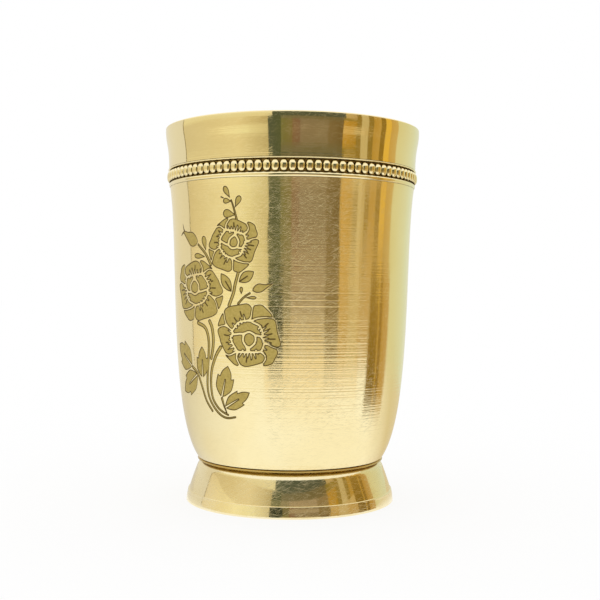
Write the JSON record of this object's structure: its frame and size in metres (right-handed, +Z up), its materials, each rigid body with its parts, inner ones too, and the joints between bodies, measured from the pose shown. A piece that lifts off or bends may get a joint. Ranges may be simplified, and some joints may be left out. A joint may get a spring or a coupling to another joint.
{
  "type": "tumbler",
  "caption": "Brass drinking tumbler with a flared lip, a beaded moulding band, a rounded body and a hollow flared foot.",
  "frame": {"origin": "centre of the flat face that the foot stands on", "axes": "+Z up along the axis that the cup was turned on, -Y towards the viewer of the picture, +X to the viewer's right"},
  "size_m": [0.0758, 0.0758, 0.11],
  "materials": {
    "polished_brass": "spun yellow brass, lathe polished, with fine turning lines and a flower spray etched matt",
    "moulding_brass": "drawn brass wire, polished on top, with brown patina in the creases",
    "foot_brass": "spun yellow brass, polished outside, dull and turned inside",
    "brazing_solder": "pale brazing solder, dull, as it set"
  },
  "bodies": {
    "root": {"cup_shell": "polished_brass", "upper_border_wire": "moulding_brass", "beaded_wire": "moulding_brass", "lower_border_wire": "moulding_brass", "collar_wire": "moulding_brass", "foot_ring": "foot_brass", "foot_solder": "brazing_solder"}
  },
  "joints": []
}
